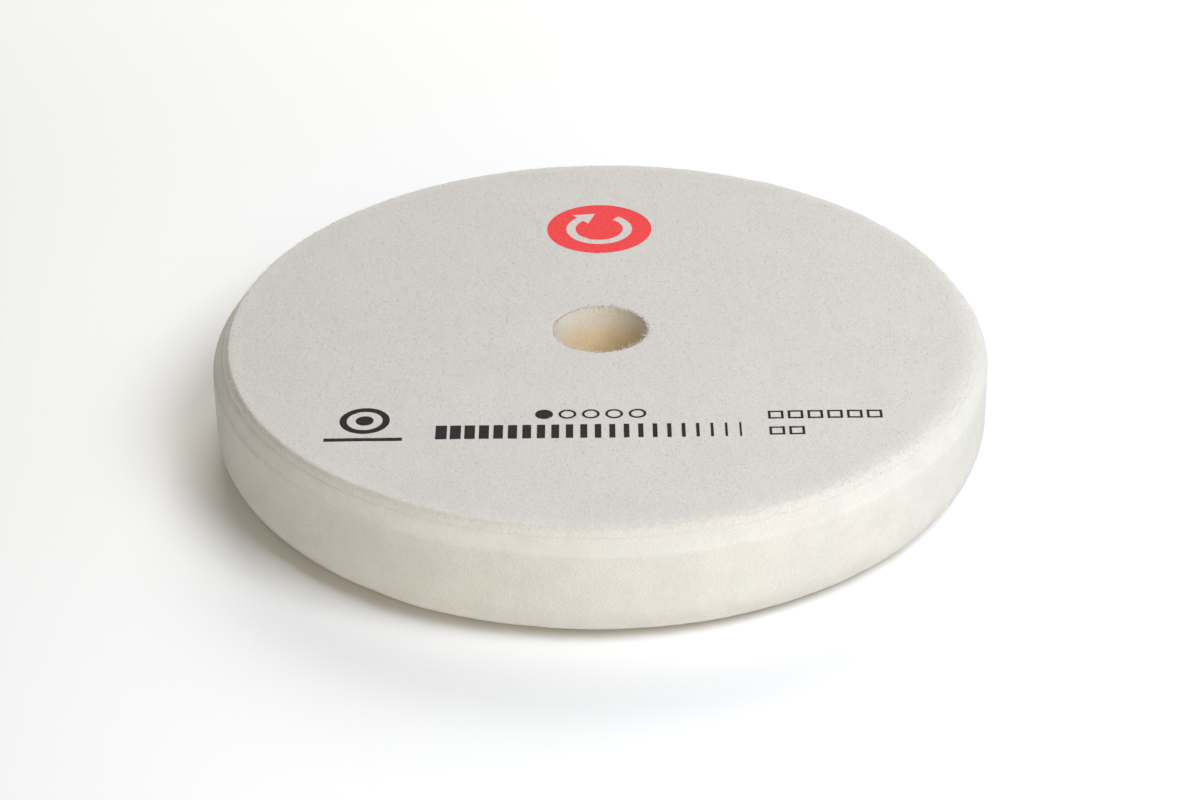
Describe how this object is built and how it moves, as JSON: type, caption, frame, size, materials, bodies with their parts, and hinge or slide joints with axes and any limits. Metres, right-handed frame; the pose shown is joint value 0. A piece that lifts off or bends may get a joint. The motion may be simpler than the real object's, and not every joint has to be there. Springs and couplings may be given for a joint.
{
  "type": "foam polishing pad",
  "caption": "Round foam polishing pad with a loop fabric backing, a centre hole and a formed foam edge, for a rotary machine's hook-faced backing plate.",
  "frame": {"origin": "middle of the working face, on the pad's axis, where the pad rests", "axes": "+Z along the pad's axis, from the working face to the loop face; +Y points to the red turning mark, and the dark marks lie on the -Y side"},
  "size_m": [0.135, 0.135, 0.021],
  "materials": {
    "foam": "matte",
    "glue": "satin",
    "loop_fabric": "matte",
    "red_ink": "matte",
    "dark_ink": "matte"
  },
  "bodies": {
    "root": {"foam_body": "foam", "glue_film": "glue", "loop_backing": "loop_fabric", "turn_mark": "red_ink", "pad_sign": "dark_ink", "grade_dots": "dark_ink", "bar_scale": "dark_ink", "tick_boxes": "dark_ink"}
  },
  "joints": []
}
